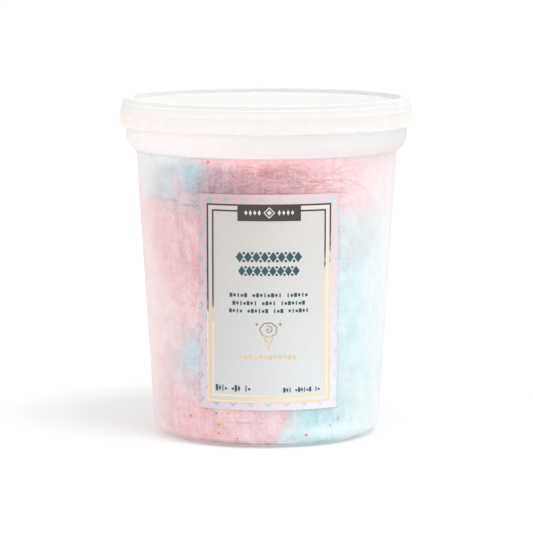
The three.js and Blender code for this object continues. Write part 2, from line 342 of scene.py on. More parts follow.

# Soft fields of colour in the floss: centre, half sizes, softness of the edge, colour, strength.
# Most are the floss's own colours; the ones marked are painted shade or painted light.
FLOSS_FIELDS = [
    ((60, -10, 43), (60, 70, 55), 0.12, CYAN, 1.0),
    ((52, -16, 90), (16, 24, 13), 0.3, (214, 233, 236), 0.9),
    ((39, -35, 85), (14, 14, 14), 0.35, (216, 230, 232), 0.9),
    ((48, -18, 50), (9, 26, 56), 0.6, (243, 251, 252), 0.6),
    ((42, -25, 2), (42, 38, 30), 0.08, CYAN, 1.0),
    ((44, -22, 8), (12, 14, 16), 0.6, (252, 255, 255), 0.7),
    ((31, -41, 88), (5, 8, 9), 0.6, (224, 233, 237), 0.85),
    ((40, -28, 6), (16, 16, 16), 0.6, (220, 236, 238), 0.8),
    ((22, -40, 10), (12, 10, 13), 0.6, (190, 226, 232), 0.8),
    ((-16, 47, 76), (28, 22, 24), 0.25, (198, 226, 236), 1.0),
    ((38, -36, 112), (21, 19, 17), 0.5, (248, 229, 232), 0.9),
    ((28, -43, 112.5), (13, 12, 6), 0.6, (241, 206, 213), 0.7),
    ((31, -43, 105), (9, 9, 5), 0.6, (252, 228, 230), 0.85),
    ((50, -20, 106), (10, 16, 14), 0.6, (246, 234, 236), 0.9),
    ((-11, -50, 107), (18, 14, 13), 0.5, (226, 165, 175), 0.95),
    ((21, -46, 105), (10, 9, 10), 0.7, (250, 213, 217), 0.85),
    ((14, -49, 107), (6, 7, 7), 0.7, (244, 199, 206), 0.65),
    ((8, -52, 104.5), (6, 7, 5), 0.7, (214, 150, 160), 0.6),
    ((-43, -29, 109), (14, 20, 11), 0.2, (193, 214, 218), 1.0),
    ((-30, -41, 110), (9, 12, 9), 0.3, (196, 218, 224), 1.0),
    ((-49, -18, 111), (7, 12, 9), 0.5, (216, 228, 230), 0.9),
    ((-29, -42, 105), (5, 7, 9), 0.5, (184, 208, 219), 0.9),
    ((-36.5, -37, 105), (2.6, 6, 8), 0.5, (216, 200, 211), 0.85),
    ((-33, -39, 100.5), (5, 6, 3.6), 0.5, (208, 192, 206), 0.85),
    ((-20, -48, 109), (5, 8, 9), 0.6, (218, 184, 199), 0.8),
    # Painted shade: a dark mauve patch just above the label's top, where the floss recedes from the
    # wall.
    ((-16, -47, 100), (13, 10, 8), 0.6, (146, 98, 120), 0.85),
    # Painted light: a pale band just under the ledge, lifting the ledge's shadow and standing in
    # for light through the lid and band.
    ((2, -50, 119), (44, 22, 7), 0.4, (265, 220, 228), 0.95),
    ((35, -40, 117), (12, 14, 4), 0.6, (252, 234, 236), 0.75),
    ((-40, -32, 119.5), (12, 16, 6), 0.6, (232, 246, 247), 0.9),
    ((-27, -43, 118.5), (6, 8, 2.5), 0.6, (248, 212, 226), 0.7),
    # Painted shade: a darker mauve patch beside the crease under the upper-left tuft.
    ((-31, -40, 90), (12, 10, 7), 0.7, (222, 192, 198), 0.4),
    ((-38, -35, 96), (8, 9, 3), 0.6, (208, 190, 196), 0.7),
    ((-43, -27, 66), (15, 18, 30), 0.8, (231, 190, 195), 0.5),
    ((-30, -38, 74), (14, 14, 16), 0.8, (224, 168, 178), 0.5),
    ((-42, -26, 50), (20, 24, 13), 0.8, (236, 216, 219), 0.6),
    ((-34, -36, 32), (10, 12, 9), 0.5, (205, 203, 214), 0.8),
    ((-28, -41, 25), (8, 9, 8), 0.6, (198, 188, 202), 0.85),
    ((-30, -40, 42.5), (8, 9, 5), 0.6, (222, 203, 208), 0.8),
    ((-28, -41, 35.5), (8.5, 9, 6), 0.5, (184, 210, 218), 0.95),
    ((-27, -43, 92), (3, 5, 12), 0.7, (212, 144, 156), 0.15),
    ((-5, -46, 6), (14, 10, 14), 0.7, (233, 213, 218), 0.7),
    ((-43, -20, 12), (9, 14, 15), 0.8, (220, 184, 188), 0.8),
    ((-27, -37, 5), (12, 12, 7), 0.8, (222, 178, 186), 0.6),
    ((-40, 26, 90), (14, 16, 9), 0.6, (206, 226, 233), 0.85),
    ((8, 49, 57), (17, 12, 8), 0.6, (210, 229, 236), 0.85),
    ((-2, 49, 91), (11, 10, 8), 0.6, (232, 196, 203), 0.9),
    ((-31, 38, 62), (11, 12, 10), 0.6, (235, 201, 206), 0.9),
    ((-14, 49, 75), (8, 8, 13), 0.7, (226, 240, 245), 0.6),
    ((-46, 16, 46), (14, 22, 15), 0.8, (241, 214, 218), 0.6),
    ((26, 42, 29), (20, 16, 13), 0.8, (242, 214, 218), 0.6),
    ((-20, 44, 107), (22, 14, 7), 0.7, (218, 160, 171), 0.7),
    ((-22, 42, 14), (20, 14, 9), 0.8, (224, 172, 181), 0.6),
]

# Painted shade: narrow darker bands in the creases where tufts press on each other, and along the
# very bottom edge, with one paler band just above that edge: centre, half sizes, colour, strength.
CREASE_AND_EDGE_SHADES = [
    ((-44.5, -26.5, 99.2), (4.5, 6, 0.4), (196, 166, 180), 0.8),
    ((-38.5, -35, 98.4), (4.5, 5, 0.35), (176, 146, 164), 0.85),
    ((-31, -41, 97.0), (6.5, 6, 0.45), (158, 134, 156), 0.85),
    ((-36, -36, 71.0), (9, 9, 0.45), (222, 156, 170), 0.5),
    ((-12, -47, 10.5), (9, 6, 0.5), (222, 160, 174), 0.6),
    # Painted shade along the very bottom edge, darker rose and darker blue, then a paler band just
    # above it.
    ((-17, -40, 0), (22, 16, 1.8), (172, 26, 56), 0.9),
    ((22, -38, 0), (18, 16, 1.6), (150, 200, 210), 0.9),
    ((28, -38, 6), (14, 14, 2.4), (238, 252, 254), 0.8),
    ((-38, 33, 79.5), (9, 9, 0.9), (186, 190, 208), 0.4),
    ((-4, 50, 50.5), (12, 7, 0.9), (206, 160, 176), 0.35),
]
SHADE_BAND_SOFTNESS = 0.8
FLOSS_DIMMING = (0.91, 0.91, 0.91)


def floss_colour(surface):
    """The floss's colour at every place: soft fields on pink, a few of them painted shade or light,
    bands of painted shade in creases and at the bottom edge, then mottles and wisps.
    """
    wide = surface.noise(22.0, detail=3.0, colour=True)
    fine = surface.noise(4.0, colour=True)
    warped = surface.warp(surface.warp(surface.place, wide, 16), fine, 3)
    nearby = surface.warp(surface.place, fine, 2)
    pale = surface.remap(surface.noise(16.0, detail=3.0), 0.4, 0.7)
    colour = surface.mix(pale, srgb(*PINK), srgb(*PALE_PINK))
    fields = [(warped, *field) for field in FLOSS_FIELDS]
    # The bands of painted shade sit on a place that wanders only a little.
    fields += [(nearby, *shade_band[:2], SHADE_BAND_SOFTNESS, *shade_band[2:]) for shade_band in CREASE_AND_EDGE_SHADES]
    for place, centre, half, softness, tint, strength in fields:
        offset = surface.vector("DIVIDE", surface.vector("SUBTRACT", place, centre), half)
        reach = surface.vector("LENGTH", offset)
        share = surface.remap(reach, 1 - softness, 1 + softness, strength, 0.0)
        colour = surface.mix(share, colour, srgb(*tint))
    flat = surface.vector("MULTIPLY", warped, (1, 1, 2.4))
    for size, low, depth in ((10.0, 1.1, 0.25), (4.5, 1.25, 0.4)):
        wisp = surface.noise(size, flat, detail=4.0, kind="RIDGED_MULTIFRACTAL")
        deep = surface.mix(1.0, colour, colour, "MULTIPLY")
        colour = surface.mix(surface.remap(wisp, low, 2.0, 0.0, depth), colour, deep)
    upright = surface.vector("MULTIPLY", surface.place, (1, 1, 0.14))
    for noise, depth, lift in (
        (surface.noise(1.5, upright, detail=1.0), 0.15, 0.06),
        (surface.noise(5.0, detail=3.0), 0.22, 0.1),
        (surface.noise(1.0, detail=1.0), 0.25, 0.1),
    ):
        deep = surface.mix(depth, colour, colour, "MULTIPLY")
        pale = surface.mix(lift, colour, (1, 1, 1))
        colour = surface.mix(surface.remap(noise, 0.35, 0.65), deep, pale)
    return surface.mix(1.0, colour, FLOSS_DIMMING, "MULTIPLY")


def floss(name, shade=None):
    """Matt sugar floss, with a soft sheen from its fibres. A shade, where given, darkens it."""
    surface = Surface(name)
    colour = floss_colour(surface)
    if shade:
        colour = surface.mix(1.0, colour, shade, "MULTIPLY")
    surface.set(Base_Color=colour, Roughness=0.92, Specular_IOR_Level=0.15)
    surface.set(Sheen_Weight=0.25, Sheen_Roughness=0.6)
    surface.bump(surface.noise(1.2, detail=2.0), 0.3, 0.5)
    return surface.material


# ---- mesh helpers


def new_object(name, data):
    """An object in the scene from a mesh, a camera or a lamp."""
    thing = bpy.data.objects.new(name, data)
    bpy.context.scene.collection.objects.link(thing)
    return thing


def plain_object(name, points, faces):
    """An object from points in millimetres, which isn't a piece of the part by itself."""
    mesh = bpy.data.meshes.new(name)
    mesh.from_pydata((np.asarray(points, float) * MM).tolist(), [], faces)
    return new_object(name, mesh)


def dress(piece, material, smooth=True):
    """Makes an object a piece of the part, with its finish, which rides on the root body."""
    mesh = piece.data
    mesh.materials.clear()
    mesh.materials.append(material)
    mesh.polygons.foreach_set("use_smooth", [smooth] * len(mesh.polygons))
    mesh.update()
    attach(piece, "root")


def mesh_object(name, points, faces, material, smooth=True):
    """A piece of the part from points in millimetres."""
    piece = plain_object(name, points, faces)
    dress(piece, material, smooth)
    return piece


def tidy_edges(piece, sharp_degrees):
    """Turns the faces outwards and keeps edges sharper than an angle crisp."""
    work = bmesh.new()
    work.from_mesh(piece.data)
    bmesh.ops.recalc_face_normals(work, faces=work.faces)
    limit = math.radians(sharp_degrees)
    for edge in work.edges:
        edge.smooth = edge.calc_face_angle(0.0) < limit
    work.to_mesh(piece.data)
    work.free()


def arc(centre_r, centre_z, radius, start, end, steps):
    """Points of an arc in a section, angles in degrees from the outward direction."""
    angles = np.radians(np.linspace(start, end, steps + 1))
    return [(centre_r + radius * math.cos(a), centre_z + radius * math.sin(a)) for a in angles]


def around(r, angle, z):
    """Points at distances from the axis, angles around it and heights."""
    return np.stack(np.broadcast_arrays(r * np.cos(angle), r * np.sin(angle), z), axis=-1)


def band(low, high, count):
    """Faces between two closed loops of points, whose first ones are numbers low and high."""
    pairs = [(i, (i + 1) % count) for i in range(count)]
    return [(low + i, low + after, high + after, high + i) for i, after in pairs]


def ring_mesh(rings, low_pole, high_pole):
    """Points and faces of a closed surface from rings of points, with a pole at each end."""
    count = len(rings[0])
    points = np.vstack([[low_pole], *rings, [high_pole]])
    last = len(points) - 1
    pairs = [(i, (i + 1) % count) for i in range(count)]
    faces = [(0, 1 + after, 1 + i) for i, after in pairs]
    for ring in range(len(rings) - 1):
        faces += band(1 + ring * count, 1 + (ring + 1) * count, count)
    faces += [(last, last - count + i, last - count + after) for i, after in pairs]
    return points, faces


def turned(section, segments):
    """A surface turned around Z from (radius, height) pairs that start and end on the axis."""
    angles = 2 * math.pi * np.arange(segments) / segments
    rings = [around(r, angles, z) for r, z in section[1:-1]]
    return ring_mesh(rings, (0, 0, section[0][1]), (0, 0, section[-1][1]))


# ---- tub and lid


def wall_radius(z, inset=0.0):
    """Outer radius of the tapered wall at a height, moved in by inset."""
    return WALL_FOOT_R + WALL_TAPER * z - inset * WALL_STRETCH


def side_radius(z, inset):
    """Radius of the wall, or below it of the rounded corner at the base, moved in by inset."""
    if z > BASE_CORNER_R:
        return wall_radius(z, inset)
    radius = BASE_CORNER_R - inset
    below = min(BASE_CORNER_R - z, radius)
    return wall_radius(BASE_CORNER_R, BASE_CORNER_R) + math.sqrt(radius ** 2 - below ** 2)


def floor_corner(floor_z, radius, inset, steps):
    """Rounded corner between a floor and the wall moved in by inset."""
    centre_z = floor_z + radius
    centre_r = wall_radius(centre_z, inset + radius)
    return arc(centre_r, centre_z, radius, -90, -WALL_LEAN, steps)


def shoulder(inset, steps):
    """Swelling from the wall out to the band, both moved in by inset."""
    centre_r = BAND_R - SHOULDER_R
    radius = SHOULDER_R - inset
    reach = wall_radius(SHOULDER_Z - SHOULDER_R, inset) - centre_r
    return arc(centre_r, SHOULDER_Z, radius, -math.degrees(math.acos(reach / radius)), 0, steps)


def turned_shell(name, section, material):
    points, faces = turned(section, TURN_SEGMENTS)
    shell = mesh_object(name, points, faces, material)
    tidy_edges(shell, SHELL_SHARP)
    return shell


def make_tub(material):
    foot = [
        (0, FOOT_RECESS),
        (FOOT_RING_R - FOOT_RECESS, FOOT_RECESS),
        (FOOT_RING_R, 0),
    ]
    rim = arc(BAND_R - RIM_BEAD_R, RIM_Z - RIM_BEAD_R, RIM_BEAD_R, 0, 180, 8)
    inner_foot = [(r, z + WALL) for r, z in foot[::-1]]
    outside = [*foot, *floor_corner(0, BASE_CORNER_R, 0, 12), *shoulder(0, 12), *rim]
    corner = floor_corner(WALL, BASE_CORNER_R - WALL, WALL, 12)
    inside = [*shoulder(WALL, 12)[::-1], *corner[::-1], *inner_foot]
    tub = turned_shell("tub_shell", [*outside, *inside], material)
    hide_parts("tub")


def skirt(inset, top_z, steps):
    """The lid's bowed skirt, moved in by inset, from the lip up."""
    radius = LID_SKIRT_R - inset
    top = math.degrees(math.asin((top_z - LID_LIP_Z) / radius))
    return arc(LID_LIP_R - LID_SKIRT_R, LID_LIP_Z, radius, 0, top, steps)


def make_lid(material):
    skirt_top_z = LID_TOP_Z - LID_CORNER_R
    outer_skirt = skirt(0, skirt_top_z, 10)
    corner_r = outer_skirt[-1][0] - LID_CORNER_R
    rim_inner_r = LID_PANEL_R + LID_PANEL_DROP / 2
    underside = [
        (0, LID_PANEL_Z - LID_WALL),
        (LID_PANEL_R + LID_WALL, LID_PANEL_Z - LID_WALL),
        (rim_inner_r + LID_WALL, LID_TOP_Z - LID_WALL),
        (corner_r, LID_TOP_Z - LID_WALL),
        *skirt(LID_WALL, skirt_top_z - LID_WALL / 2, 8)[::-1],
    ]
    lip = arc(LID_LIP_R - LIP_BEAD_R, LID_LIP_Z - LIP_BEAD_R, LIP_BEAD_R, -160, -20, 6)
    top = [
        *outer_skirt[:-1],
        *arc(corner_r, skirt_top_z, LID_CORNER_R, 22, 90, 6),
        (rim_inner_r + LID_RIM_EDGE_R, LID_TOP_Z),
        (rim_inner_r - LID_RIM_EDGE_R, LID_TOP_Z - LID_RIM_EDGE_R),
        (LID_PANEL_R, LID_PANEL_Z),
        (0, LID_PANEL_Z),
    ]
    lid = turned_shell("lid_shell", [*underside, *lip, *top], material)
    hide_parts("lid")


# ---- floss body


def smooth_noise(seed, count, most_turns, shortest):
    """A function of angle and height, smooth and closed around the axis, mostly within -1 to 1."""
    rng = np.random.default_rng(seed)
    turns = rng.integers(-most_turns, most_turns + 1, count)
    rise = 2 * math.pi / shortest * rng.uniform(-1, 1, count)
    phase = rng.uniform(0, 2 * math.pi, count)

    def value(angle, z):
        waves = turns * np.asarray(angle)[..., None] + rise * np.asarray(z)[..., None] + phase
        return np.sin(waves).sum(axis=-1) / math.sqrt(1.5 * count)
    return value


side_noise = smooth_noise(11, 40, 45, 7.0)
top_noise = smooth_noise(12, 14, 5, 9.0)


def floss_radius(angle, z):
    """Radius of the floss's side, whose relief stays inside the wall's thickness."""
    relief = FLOSS_RELIEF * (0.5 + 0.5 * np.clip(side_noise(angle, z), -1, 1))
    return wall_radius(z, FLOSS_INSET) - relief


def floss_top(angle, r):
    """Height of the floss's top at a distance from the axis."""
    share = r / WALL_FOOT_R
    lumps = FLOSS_LUMP * min(share, 1.0) * top_noise(angle, 20 * share + 0 * angle)
    return FLOSS_TOP_Z + FLOSS_TILT * r * np.cos(angle) + lumps


def floss_rings():
    """Rings of points over the whole filling, from the floor up and in over the top."""
    angles = 2 * math.pi * np.arange(FLOSS_SEGMENTS) / FLOSS_SEGMENTS
    foot_z = FLOSS_INSET
    recess_z = foot_z + FOOT_RECESS
    rings = []

    def ring(r, z):
        rings.append(around(r, angles, z))
    for r in np.linspace(6, FOOT_RING_R - FOOT_RECESS, 6):
        ring(r, recess_z)
    ring(FOOT_RING_R, foot_z)
    radius = BASE_CORNER_R - FLOSS_INSET
    corner = floor_corner(foot_z, radius, FLOSS_INSET, FLOSS_CORNER_STEPS)
    for r, z in corner[:-1]:
        ring(r, z)
    edge_r = wall_radius(FLOSS_SIDE_TOP_Z, FLOSS_INSET)
    side_top = np.minimum(FLOSS_SIDE_TOP_Z, floss_top(angles, edge_r) - FLOSS_EDGE_DROP)
    for share in np.linspace(0, 1, FLOSS_SIDE_RINGS):
        z = corner[-1][1] + (side_top - corner[-1][1]) * share
        fade = min(1.0, FLOSS_FADE * share)
        smooth_r = wall_radius(z, FLOSS_INSET)
        ring(smooth_r + fade * (floss_radius(angles, z) - smooth_r), z)
    last_r = floss_radius(angles, side_top)
    for turn in np.radians(np.linspace(15, 90, 6)):
        r = last_r - FLOSS_ROUND * (1 - math.cos(turn))
        ring(r, side_top + (floss_top(angles, last_r.mean()) - side_top) * math.sin(turn))
    for r in np.linspace(edge_r - FLOSS_ROUND, 0, FLOSS_TOP_RINGS)[1:-1]:
        ring(r, floss_top(angles, r))
    return rings, recess_z


def tuft_blob(name, centre, half):
    """A waving blob, as its construction has it."""
    work = bmesh.new()
    bmesh.ops.create_icosphere(work, subdivisions=5, radius=1.0)
    for vertex in work.verts:
        x, y, z = vertex.co
        wave = math.sin(5 * x + 4 * z) * math.cos(5 * y - 3 * z)
        scale = 1 + TUFT_RIPPLE * wave
        vertex.co = [MM * (c + u * h * scale) for c, u, h in zip(centre, (x, y, z), half)]
    mesh = bpy.data.meshes.new(name)
    work.to_mesh(mesh)
    work.free()
    return new_object(name, mesh)


def combine(target, tool, operation):
    """Joins, cuts or keeps the overlap of two closed meshes, in the target's mesh."""
    modifier = target.modifiers.new("combine", "BOOLEAN")
    modifier.operation = operation
    modifier.solver = "MANIFOLD"
    modifier.object = tool
    depsgraph = bpy.context.evaluated_depsgraph_get()
    mesh = bpy.data.meshes.new_from_object(target.evaluated_get(depsgraph))
    target.modifiers.clear()
    old = target.data
    target.data = mesh
    bpy.data.meshes.remove(old)


def drop_fins(piece):
    """Splits the faces into triangles, without the pairs that lie back to back on a cut edge."""
    work = bmesh.new()
    work.from_mesh(piece.data)
    bmesh.ops.triangulate(work, faces=work.faces)
    same = {}
    for face in work.faces:
        same.setdefault(frozenset(tuple(vertex.co) for vertex in face.verts), []).append(face)
    fins = [face for faces in same.values() if len(faces) > 1 for face in faces]
    bmesh.ops.delete(work, geom=fins, context="FACES")
    work.to_mesh(piece.data)
    work.free()


def finish_floss(piece, material, node):
    drop_fins(piece)
    dress(piece, material)
    tidy_edges(piece, FLOSS_SHARP)
    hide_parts(node)


def make_floss(material):
    """The pink mass and the blue tufts, all cut from one packed filling."""
    rings, floor_z = floss_rings()
    points, faces = ring_mesh(rings, (0, 0, floor_z), (0, 0, FLOSS_TOP_Z))
    pink = plain_object("floss_pink", points, faces)
    for node, blobs in BLUE_TUFTS.items():
        tool = tuft_blob("tool", *blobs[0])
        for blob in blobs[1:]:
            other = tuft_blob("other", *blob)
            combine(tool, other, "UNION")
            bpy.data.objects.remove(other)
        tuft = plain_object(node.replace("candy", "floss"), points, faces)
        combine(tuft, tool, "INTERSECT")
        combine(pink, tool, "DIFFERENCE")
        bpy.data.objects.remove(tool)
        finish_floss(tuft, material, node)
    finish_floss(pink, material, "candy_pink")


# ---- floss strands


def is_blue(angle, z):
    """True where the floss's side is in one of the blue tufts."""
    place = around(wall_radius(z, FLOSS_INSET), angle, z)
    inside = np.zeros(np.shape(z), bool)
    for blobs in BLUE_TUFTS.values():
        for centre, half in blobs:
            inside |= (((place - centre) / np.array(half)) ** 2).sum(axis=-1) < 1
    return inside


def tube_mesh(paths, radii):
    """Closed three-sided tubes along paths, an array of strands by points by xyz."""
    strands, steps, _ = paths.shape
    along = np.gradient(paths, axis=1)
    along /= np.linalg.norm(along, axis=2, keepdims=True)
    out = paths * (1, 1, 0)
    out /= np.linalg.norm(out, axis=2, keepdims=True)
    side = np.cross(along, out)
    taper = np.sin(np.linspace(0.12, math.pi - 0.12, steps)) ** 0.4
    width = radii[:, None, None] * taper[None, :, None]
    corners = []
    for turn in (0, 2 * math.pi / 3, 4 * math.pi / 3):
        corners.append(paths + width * (math.cos(turn) * out + math.sin(turn) * side))
    points = np.stack(corners, axis=2).reshape(-1, 3)
    first = 3 * np.arange(strands * steps).reshape(strands, steps)
    faces = []
    for corner in range(3):
        after = (corner + 1) % 3
        near, far = first[:, :-1].ravel(), first[:, 1:].ravel()
        quads = np.column_stack([near + corner, near + after, far + after, far + corner])
        faces += quads.tolist()
    faces += (first[:, 0][:, None] + [2, 1, 0]).tolist()
    faces += (first[:, -1][:, None] + [0, 1, 2]).tolist()
    return points, faces


def strand_paths(seed, angle, z, heading, length, steps, swing, lift):
    """Paths that wander over the floss's side from given starts, in smooth bends. Swing is how
    far they turn, and lift how far they stand off the side."""
    bend = smooth_noise(seed, 24, 14, 14.0)
    kink = smooth_noise(seed + 1, 24, 50, 5.0)
    step = length / steps
    points = []
    for _ in range(steps):
        r = floss_radius(angle, z) + lift
        points.append(around(r, angle, z))
        turn = heading + swing * (bend(angle, z) + 0.15 * kink(angle, z))
        angle = angle + step * np.cos(turn) / r
        z = np.clip(z + step * np.sin(turn), BASE_CORNER_R, FLOSS_SIDE_TOP_Z - STRAND_TOP_GAP)
    return np.stack(points, axis=1)


def make_strands(material, deep_material):
    """Loose strands on the floss's sides, and darker, thicker ones above the label."""
    rng = np.random.default_rng(5)
    angle = rng.uniform(0, 2 * math.pi, STRANDS)
    z = rng.uniform(BASE_CORNER_R, FLOSS_SIDE_TOP_Z - 1, STRANDS)
    heading = rng.normal(0, 0.4, STRANDS) + np.where(rng.random(STRANDS) < 0.5, math.pi, 0)
    length = rng.uniform(*STRAND_LENGTHS, STRANDS)
    paths = strand_paths(21, angle, z, heading, length, steps=20, swing=0.35, lift=0.0)
    radii = rng.uniform(*STRAND_RADII, STRANDS)
    blue = is_blue(angle, z)
    for name, chosen, slot in (
        ("strands_pink", ~blue, "pink_floss"),
        ("strands_blue", blue, "blue_floss"),
    ):
        points, faces = tube_mesh(paths[chosen], radii[chosen])
        mesh_object(name, points, faces, material)
    angle = np.radians(rng.uniform(*DEEP_ANGLES, DEEP_STRANDS))
    z = rng.uniform(*DEEP_HEIGHTS, DEEP_STRANDS)
    heading = rng.normal(0, 0.2, DEEP_STRANDS)
    length = rng.uniform(*DEEP_LENGTHS, DEEP_STRANDS)
    paths = strand_paths(31, angle, z, heading, length, steps=18, swing=0.6, lift=0.02)
    points, faces = tube_mesh(paths, rng.uniform(*DEEP_RADII, DEEP_STRANDS))
    mesh_object("strands_deep", points, faces, deep_material)


# ---- sugar grains

# Colours of the grains, and the ones seen in the front: angle from the label's side in degrees,
# height, size.
GRAINS = {
    "red": (srgb(250, 40, 66), [(-41.2, 11.6, 1.6), (-14.9, 3.9, 1.0), (-25.9, 114.6, 1.1)]),
    "rose": (srgb(246, 60, 104), [(-49.9, 13.4, 1.1), (20.3, 5.2, 1.3), (-14.4, 109.3, 1.1)]),
    "orange": (srgb(255, 110, 60), [
        (-50.3, 8.0, 0.8), (-31.0, 15.4, 0.9), (-24.6, 9.3, 1.4), (-24.6, 5.6, 1.5),
        (38.7, 10.7, 1.2), (33.7, 8.4, 0.8)]),
    "yellow": (srgb(240, 190, 30), [
        (-45.7, 11.0, 0.9), (-19.4, 14.0, 1.2), (-22.1, 9.6, 1.2), (13.3, 4.6, 1.2)]),
    "teal": (srgb(20, 140, 180), [(-25.7, 13.8, 1.1)]),
}
GRAIN_THICK = 0.16
GRAIN_GAP = 0.02  # from the back of a grain to the floss's side
GRAIN_SHARP = 20
LOOSE_GRAINS = 14  # of each colour, around the sides and back
LOOSE_ANGLES = (-25, 205)  # degrees around the axis: the sides and the back
LOOSE_SIZES = (0.5, 1.1)
SUNK_SHARE = 0.6  # of the loose grains, which have sunk to the lower part
SUNK_HEIGHTS = (8, 30)
HIGH_HEIGHTS = (30, 112)


def grain_plate(rng, angle, z, size):
    """A small flat crystal with five or six uneven corners, lying against the wall."""
    corners = int(rng.integers(5, 7))
    turn = rng.uniform(0, 2 * math.pi)
    loop = []
    for i in range(corners):
        a = turn + 2 * math.pi * i / corners
        reach = 0.5 * size * rng.uniform(0.75, 1.05)
        loop.append((reach * math.cos(a), reach * math.sin(a)))
    points = []
    for depth in (FLOSS_INSET + GRAIN_GAP, FLOSS_INSET + GRAIN_GAP - GRAIN_THICK):
        for across, up in loop:
            r = side_radius(z + up, depth)
            points.append(around(r, angle + across / r, z + up))
    back = list(range(corners))
    front = [corners + i for i in back]
    return points, [back[::-1], front, *band(0, corners, corners)]


def make_grains():
    rng = np.random.default_rng(9)
    for colour, (tint, seen) in GRAINS.items():
        spots = [(math.radians(angle - 90), z, size) for angle, z, size in seen]
        for _ in range(LOOSE_GRAINS):
            sunk = rng.random() < SUNK_SHARE
            z = rng.uniform(*(SUNK_HEIGHTS if sunk else HIGH_HEIGHTS))
            spots.append((math.radians(rng.uniform(*LOOSE_ANGLES)), z, rng.uniform(*LOOSE_SIZES)))
        points, faces = [], []
        for spot in spots:
            more_points, more_faces = grain_plate(rng, *spot)
            faces += [[len(points) + i for i in face] for face in more_faces]
            points += more_points
        finish = speckled("grain_" + colour, tint, other_share=0.8, size=0.5, most=0.5, rough=0.3)
        grains = mesh_object(
            "grains_" + colour, points, faces, finish, smooth=False)
        tidy_edges(grains, GRAIN_SHARP)


# ---- label


def on_label(across, z, off):
    """A point over the label: across is measured along the wall from the label's middle line."""
    r = wall_radius(z, -off)
    angle = LABEL_TURN + across / wall_radius(z)
    return r * math.sin(angle), -r * math.cos(angle), z


class Print:
    """Flat shapes of one ink, in label coordinates (across, height), raised into thin prisms."""

    def __init__(self):
        self.points = []
        self.faces = []

    def grid(self, rows):
        """A patch from equal rows of points, listed upwards."""
        first = len(self.points)
        width = len(rows[0])
        for row in rows:
            self.points.extend(row)
        for j in range(len(rows) - 1):
            for i in range(width - 1):
                low = first + j * width + i
                self.faces.append((low, low + 1, low + width + 1, low + width))

    def bar(self, left, right, bottom, top):
        """A rectangle, in steps short enough to follow the wall."""
        columns = max(1, math.ceil((right - left) / STAMP_STEP))
        rows = max(1, math.ceil((top - bottom) / (4 * STAMP_STEP)))
        xs = np.linspace(left, right, columns + 1)
        zs = np.linspace(bottom, top, rows + 1)
        self.grid([[(x, z) for x in xs] for z in zs])

    def frame(self, half, bottom, top, line):
        """The four sides of a rectangular line frame around the label's middle line."""
        self.bar(-half, half, top - line, top)
        self.bar(-half, half, bottom, bottom + line)
        self.bar(-half, -half + line, bottom + line, top - line)
        self.bar(half - line, half, bottom + line, top - line)

    def loop(self, outer, inner=None):
        """A filled outline, or the strip between two outlines of equal length."""
        first = len(self.points)
        count = len(outer)
        self.points += outer
        if inner is None:
            self.points.append(np.mean(outer, axis=0))
            for i in range(count):
                self.faces.append((first + i, first + (i + 1) % count, first + count))
            return
        self.points += inner
        self.faces += band(first, first + count, count)

    def stroke(self, path, width):
        """A line of even width along a path."""
        path = np.asarray(path, float)
        along = np.gradient(path, axis=0)
        along /= np.linalg.norm(along, axis=1, keepdims=True)
        side = np.column_stack([-along[:, 1], along[:, 0]]) * width / 2
        self.grid([path - side, path + side])

    def build(self, name, low, high, material):
        """Raises the shapes from low to high off the wall and makes the piece."""
        count = len(self.points)
        points = [on_label(x, z, low) for x, z in self.points]
        points += [on_label(x, z, high) for x, z in self.points]
        faces = [face[::-1] for face in self.faces]
        faces += [tuple(count + i for i in face) for face in self.faces]
        edges = {}
        for face in self.faces:
            for i, j in zip(face, (*face[1:], face[0])):
                edges[i, j] = True
        for i, j in edges:
            if (j, i) not in edges:
                faces.append((i, j, count + j, count + i))
        piece = mesh_object(name, points, faces, material, smooth=False)
        tidy_edges(piece, PRINT_SHARP)
        return piece


def diamond(across, z, half_width, half_height):
    return [
        (across + half_width, z),
        (across, z + half_height),
        (across - half_width, z),
        (across, z - half_height),
    ]


def disc(across, z, radius, corners=14):
    turns = 2 * math.pi * np.arange(corners) / corners
    return [(across + radius * math.cos(t), z + radius * math.sin(t)) for t in turns]


def star(across, z, reach, waist):
    """A star with four tips, its first one up."""
    loop = []
    for i in range(8):
        turn = math.pi / 2 + math.pi * i / 4
        radius = reach if i % 2 == 0 else waist
        loop.append((across + radius * math.cos(turn), z + radius * math.sin(turn)))
    return loop


FRAME_HALF = 25.4
FRAME_LINE = 0.66
FRAME_GAP = 2.3
FRAME_BOTTOM_Z = 18.95
FRAME_TOP_Z = 98.45
PLATE_HALF = 12.5
PLATE_BOTTOM_Z = 91.8
DIAMOND_HALF_WIDTH = 1.35
DIAMOND_HALF_HEIGHT = 1.6
DIAMOND_LINE = 0.6
TOP_DIAMONDS = (8, -24.5, 7.14, 99.55)  # how many, the first one's place, their step, height
BOTTOM_DIAMONDS = (7, -21.5, 7.15, 18.75)
SIDE_DIAMONDS = (9, 95.0, 9.42)  # how many, the top one's height, their step
SIDE_DIAMOND_INSET = 0.25  # from the label's edge
TIP_REACH = 0.75
TIP_HALF_HEIGHT = 0.95
CAPTION_BEADS = 12
CAPTION_LEFT = -11.1
CAPTION_WIDTH = 21.1
CAPTION_Z = 37.3
EMBLEM_MIDDLE = -0.25
EMBLEM_LINE = 0.38
PUFF_Z = 48.4


def corner_mix(surface, top_left, top_right, bottom_left, bottom_right):
    """A colour that goes evenly from corner to corner of the label, used as painted light: corners
    are paler where more light falls.
    """
    across = surface.remap(surface.axis("X"), -FRAME_HALF, FRAME_HALF)
    up = surface.remap(surface.axis("Z"), LABEL_BOTTOM_Z, LABEL_TOP_Z)
    top = surface.mix(across, top_left, top_right)
    bottom = surface.mix(across, bottom_left, bottom_right)
    return surface.mix(1.0, surface.mix(up, bottom, top), (0.94, 0.94, 0.94), "MULTIPLY")


